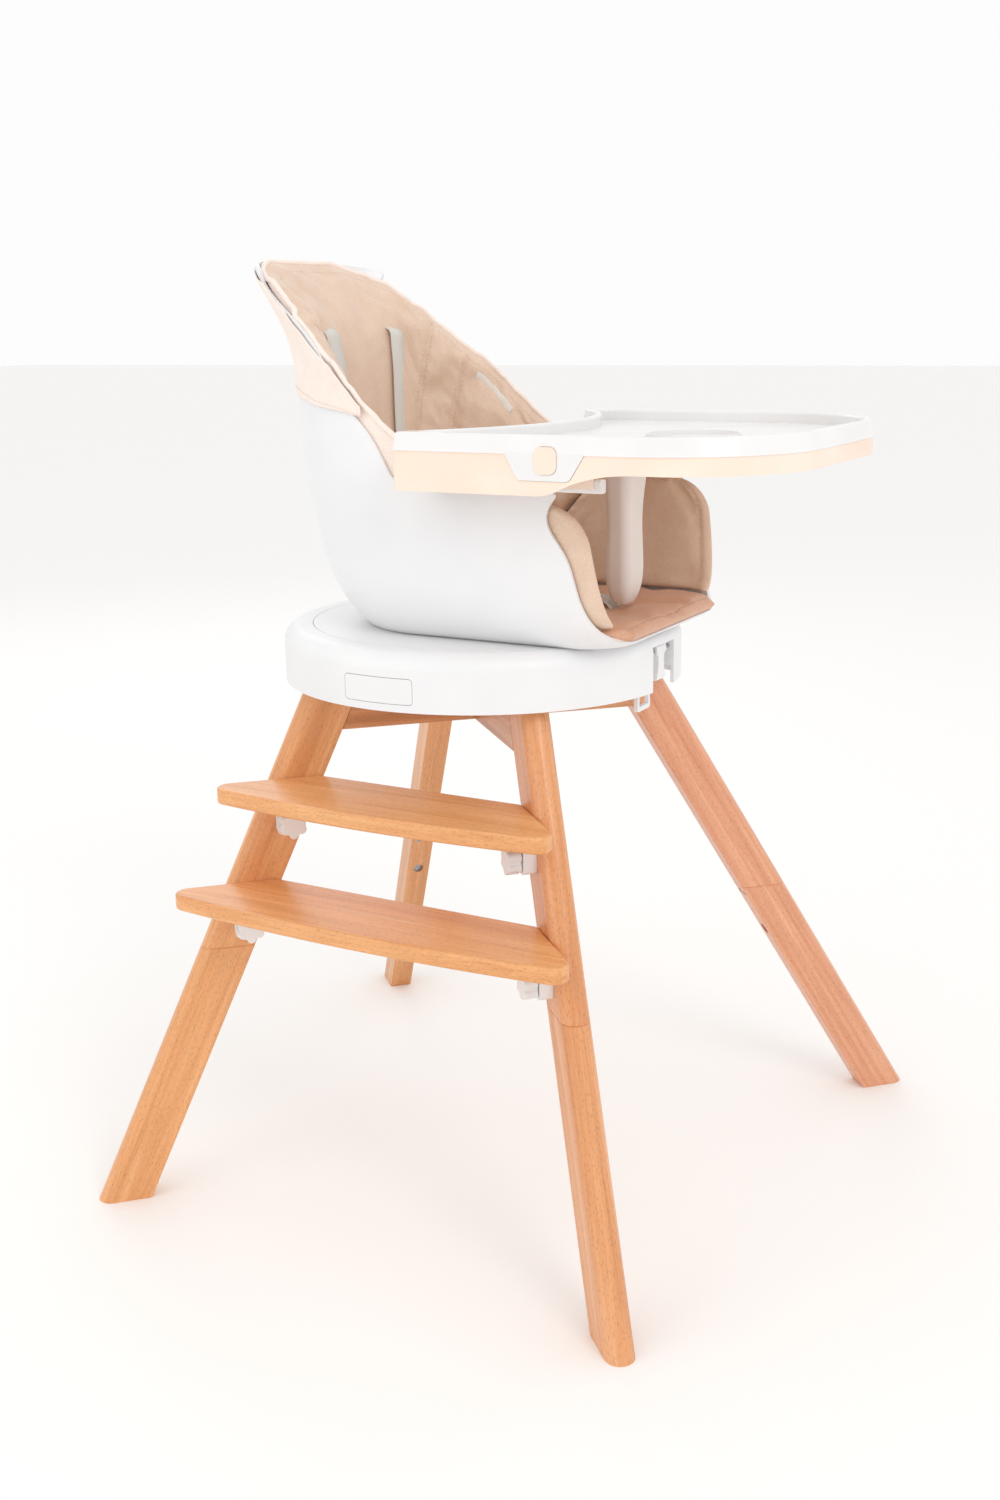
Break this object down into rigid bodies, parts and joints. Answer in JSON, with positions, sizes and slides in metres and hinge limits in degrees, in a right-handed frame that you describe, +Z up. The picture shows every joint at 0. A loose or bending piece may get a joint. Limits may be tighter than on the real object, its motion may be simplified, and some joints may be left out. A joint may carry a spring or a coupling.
{
  "type": "baby high chair",
  "caption": "Wooden high chair with splayed legs, steps at one side, a swivelling padded tub seat and a sliding tray with a lift-off top.",
  "frame": {"origin": "on the floor under the seat's turning axis", "axes": "+Z up, the seat at rest faces -Y, the steps are on the -X side"},
  "size_m": [0.6686, 0.7353, 0.943],
  "materials": {
    "beech_frame": "clear satin lacquer on steamed beech",
    "beech_step": "clear satin lacquer on beech",
    "white_plastic": "fine satin moulding",
    "shell_plastic": "smooth semi-gloss moulding",
    "tray_white": "polished moulding",
    "peach_plastic": "smooth semi-gloss moulding",
    "post_plastic": "satin moulding",
    "grey_plastic": "satin moulding",
    "liner_inside": "soft grained synthetic leather",
    "liner_seat": "soft grained synthetic leather",
    "liner_outside": "soft grained synthetic leather",
    "webbing": "woven polyester webbing",
    "tag_fabric": "woven satin ribbon",
    "steel": "zinc plated",
    "spring_steel": "drawn wire"
  },
  "bodies": {
    "stand": {"upper_leg_step_rear": "beech_frame", "upper_leg_step_front": "beech_frame", "upper_leg_far_rear": "beech_frame", "upper_leg_far_front": "beech_frame", "lower_leg_step_rear": "beech_frame", "lower_leg_step_front": "beech_frame", "lower_leg_far_rear": "beech_frame", "lower_leg_far_front": "beech_frame", "leg_joint_bolts": "steel", "leg_barrel_nuts": "steel", "leg_joint_screws": "steel", "cross_beam_under": "beech_frame", "cross_beam_over": "beech_frame", "upper_step": "beech_step", "lower_step": "beech_step", "upper_step_bracket_rear": "white_plastic", "upper_step_bracket_front": "white_plastic", "lower_step_bracket_rear": "white_plastic", "lower_step_bracket_front": "white_plastic", "bracket_screws": "steel", "knob_studs": "steel", "base_plate": "white_plastic", "turntable_housing": "white_plastic", "plate_screws": "steel", "king_pin": "steel", "king_pin_nut": "steel", "bearing_balls": "steel", "lock_panel_spring": "spring_steel", "latch_pin": "steel", "latch_spring": "spring_steel"},
    "seat": {"turntable_disc": "white_plastic", "seat_screws": "steel", "seat_shell": "shell_plastic", "seat_pad": "liner_seat", "side_wing_near": "liner_inside", "side_wing_far": "liner_inside", "back_liner": "liner_inside", "back_hood": "liner_outside", "shoulder_strap_near": "webbing", "shoulder_strap_far": "webbing", "lower_straps": "webbing", "harness_buckle": "grey_plastic", "rim_tag": "tag_fabric", "tray_rail_near": "white_plastic", "tray_rail_far": "white_plastic"},
    "tray": {"lower_tray": "peach_plastic", "crotch_post": "post_plastic"},
    "upper_tray": {"upper_tray": "tray_white", "tray_button_springs": "spring_steel"},
    "button_near": {"tray_button_near": "peach_plastic"},
    "button_far": {"tray_button_far": "peach_plastic"},
    "lock_panel": {"lock_panel": "white_plastic"},
    "latch_lever": {"latch_lever": "white_plastic"},
    "pull_tab": {"pull_tab": "white_plastic"},
    "upper_step_knob_rear": {"upper_step_knob_rear": "white_plastic"},
    "upper_step_knob_front": {"upper_step_knob_front": "white_plastic"},
    "lower_step_knob_rear": {"lower_step_knob_rear": "white_plastic"},
    "lower_step_knob_front": {"lower_step_knob_front": "white_plastic"}
  },
  "joints": [
    {"name": "seat_turn", "type": "hinge", "parent": "stand", "child": "seat", "pos_m": [0, 0, 0.59], "axis": [0, 0, 1], "continuous": true},
    {"name": "tray_slide", "type": "slide", "parent": "seat", "child": "tray", "axis": [0, -1, 0], "range_m": [0, 0.06]},
    {"name": "upper_tray_lift", "type": "slide", "parent": "tray", "child": "upper_tray", "axis": [0, 0, 1], "range_m": [0, 0.04]},
    {"name": "button_near_press", "type": "slide", "parent": "upper_tray", "child": "button_near", "axis": [1, 0, 0], "range_m": [0, 0.0025], "stiffness_N_per_m": 300, "springref_m": -0.0015},
    {"name": "button_far_press", "type": "slide", "parent": "upper_tray", "child": "button_far", "axis": [-1, 0, 0], "range_m": [0, 0.0025], "stiffness_N_per_m": 300, "springref_m": -0.0015},
    {"name": "lock_panel_press", "type": "slide", "parent": "stand", "child": "lock_panel", "axis": [1, 0, 0], "range_m": [0, 0.003], "stiffness_N_per_m": 300, "springref_m": -0.0015},
    {"name": "latch_lever_turn", "type": "hinge", "parent": "stand", "child": "latch_lever", "pos_m": [0, -0.194, 0.572], "axis": [-1, 0, 0], "range_deg": [0, 30], "stiffness_Nm_per_rad": 0.03, "springref_deg": -11.46},
    {"name": "pull_tab_slide", "type": "slide", "parent": "stand", "child": "pull_tab", "axis": [0, -1, 0], "range_m": [0, 0.012], "stiffness_N_per_m": 100, "springref_m": -0.003},
    {"name": "upper_step_knob_rear_turn", "type": "hinge", "parent": "stand", "child": "upper_step_knob_rear", "pos_m": [-0.16812, 0.12852, 0.399], "axis": [-0.7071, -0.7071, 0], "continuous": true},
    {"name": "upper_step_knob_front_turn", "type": "hinge", "parent": "stand", "child": "upper_step_knob_front", "pos_m": [-0.16812, -0.12852, 0.399], "axis": [-0.7071, 0.7071, 0], "continuous": true},
    {"name": "lower_step_knob_rear_turn", "type": "hinge", "parent": "stand", "child": "lower_step_knob_rear", "pos_m": [-0.20175, 0.16215, 0.294], "axis": [-0.7071, -0.7071, 0], "continuous": true},
    {"name": "lower_step_knob_front_turn", "type": "hinge", "parent": "stand", "child": "lower_step_knob_front", "pos_m": [-0.20175, -0.16215, 0.294], "axis": [-0.7071, 0.7071, 0], "continuous": true}
  ]
}
